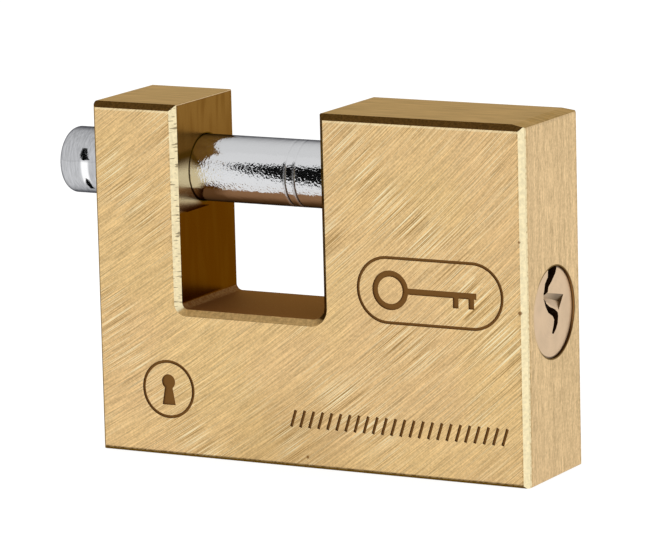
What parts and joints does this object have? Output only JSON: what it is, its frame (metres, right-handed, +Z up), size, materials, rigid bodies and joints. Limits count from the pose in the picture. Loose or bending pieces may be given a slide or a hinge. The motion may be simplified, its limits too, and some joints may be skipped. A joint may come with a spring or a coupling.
{
  "type": "block padlock",
  "caption": "Rectangular solid-brass padlock with a straight round bolt sliding across a gap in its top, and a pin-tumbler cylinder in one end.",
  "frame": {"origin": "centre of the flat base face that the lock stands on", "axes": "+X towards the key end, along the bolt; +Y towards the back face; +Z up, from the base to the tops of the two legs"},
  "size_m": [0.0957, 0.0218, 0.0631],
  "materials": {
    "body_brass": "ground with diagonal lines, lightly worn",
    "bolt_chrome": "polished, with a fine pebbled plating",
    "plug_brass": "smooth satin",
    "pin_brass": "turned",
    "stopper_brass": "ground flush",
    "pin_steel": "ground",
    "inner_steel": "hardened, lightly oiled",
    "spring_steel": "drawn wire"
  },
  "bodies": {
    "case": {"lock_body": "body_brass", "bolt_stop_pin": "pin_steel", "plug_retaining_pin": "pin_steel", "catch_bore_plug": "stopper_brass", "chamber_plugs": "stopper_brass", "catch_spring": "spring_steel", "driver_spring_1": "spring_steel", "driver_spring_2": "spring_steel", "driver_spring_3": "spring_steel", "driver_spring_4": "spring_steel", "driver_spring_5": "spring_steel"},
    "bolt": {"shackle_bolt": "bolt_chrome"},
    "plug": {"cylinder_plug": "plug_brass", "plug_cam": "inner_steel"},
    "catch": {"locking_catch": "inner_steel"},
    "key_pin_a": {"key_pin_1": "pin_brass"},
    "key_pin_b": {"key_pin_2": "pin_brass"},
    "key_pin_c": {"key_pin_3": "pin_brass"},
    "key_pin_d": {"key_pin_4": "pin_brass"},
    "key_pin_e": {"key_pin_5": "pin_brass"},
    "driver_pin_a": {"driver_pin_1": "pin_brass"},
    "driver_pin_b": {"driver_pin_2": "pin_brass"},
    "driver_pin_c": {"driver_pin_3": "pin_brass"},
    "driver_pin_d": {"driver_pin_4": "pin_brass"},
    "driver_pin_e": {"driver_pin_5": "pin_brass"}
  },
  "joints": [
    {"name": "bolt_slide", "type": "slide", "parent": "case", "child": "bolt", "axis": [-1, 0, 0], "range_m": [0, 0.0445]},
    {"name": "plug_turn", "type": "hinge", "parent": "case", "child": "plug", "pos_m": [0.016, 0, 0.029], "axis": [1, 0, 0], "range_deg": [0, 180]},
    {"name": "catch_lift", "type": "slide", "parent": "case", "child": "catch", "axis": [0, 0, 1], "range_m": [0, 0.003], "deforming": ["catch_spring"]},
    {"name": "key_pin_1_drop", "type": "slide", "parent": "plug", "child": "key_pin_a", "axis": [0, 0, -1], "range_m": [0, 0.0022]},
    {"name": "key_pin_2_drop", "type": "slide", "parent": "plug", "child": "key_pin_b", "axis": [0, 0, -1], "range_m": [0, 0.0012]},
    {"name": "key_pin_3_drop", "type": "slide", "parent": "plug", "child": "key_pin_c", "axis": [0, 0, -1], "range_m": [0, 0.0027]},
    {"name": "key_pin_4_drop", "type": "slide", "parent": "plug", "child": "key_pin_d", "axis": [0, 0, -1], "range_m": [0, 0.0017]},
    {"name": "key_pin_5_drop", "type": "slide", "parent": "plug", "child": "key_pin_e", "axis": [0, 0, -1], "range_m": [0, 0.0022]},
    {"name": "driver_pin_1_lift", "type": "slide", "parent": "case", "child": "driver_pin_a", "axis": [0, 0, 1], "range_m": [0, 0.0015], "stiffness_N_per_m": 100, "springref_m": -0.004, "deforming": ["driver_spring_1"]},
    {"name": "driver_pin_2_lift", "type": "slide", "parent": "case", "child": "driver_pin_b", "axis": [0, 0, 1], "range_m": [0, 0.0015], "stiffness_N_per_m": 100, "springref_m": -0.004, "deforming": ["driver_spring_2"]},
    {"name": "driver_pin_3_lift", "type": "slide", "parent": "case", "child": "driver_pin_c", "axis": [0, 0, 1], "range_m": [0, 0.0015], "stiffness_N_per_m": 100, "springref_m": -0.004, "deforming": ["driver_spring_3"]},
    {"name": "driver_pin_4_lift", "type": "slide", "parent": "case", "child": "driver_pin_d", "axis": [0, 0, 1], "range_m": [0, 0.0015], "stiffness_N_per_m": 100, "springref_m": -0.004, "deforming": ["driver_spring_4"]},
    {"name": "driver_pin_5_lift", "type": "slide", "parent": "case", "child": "driver_pin_e", "axis": [0, 0, 1], "range_m": [0, 0.0015], "stiffness_N_per_m": 100, "springref_m": -0.004, "deforming": ["driver_spring_5"]}
  ],
  "couplings": [
    {"joint": "catch_lift", "follows": "plug_turn", "m_per_rad": 0.00095493}
  ]
}
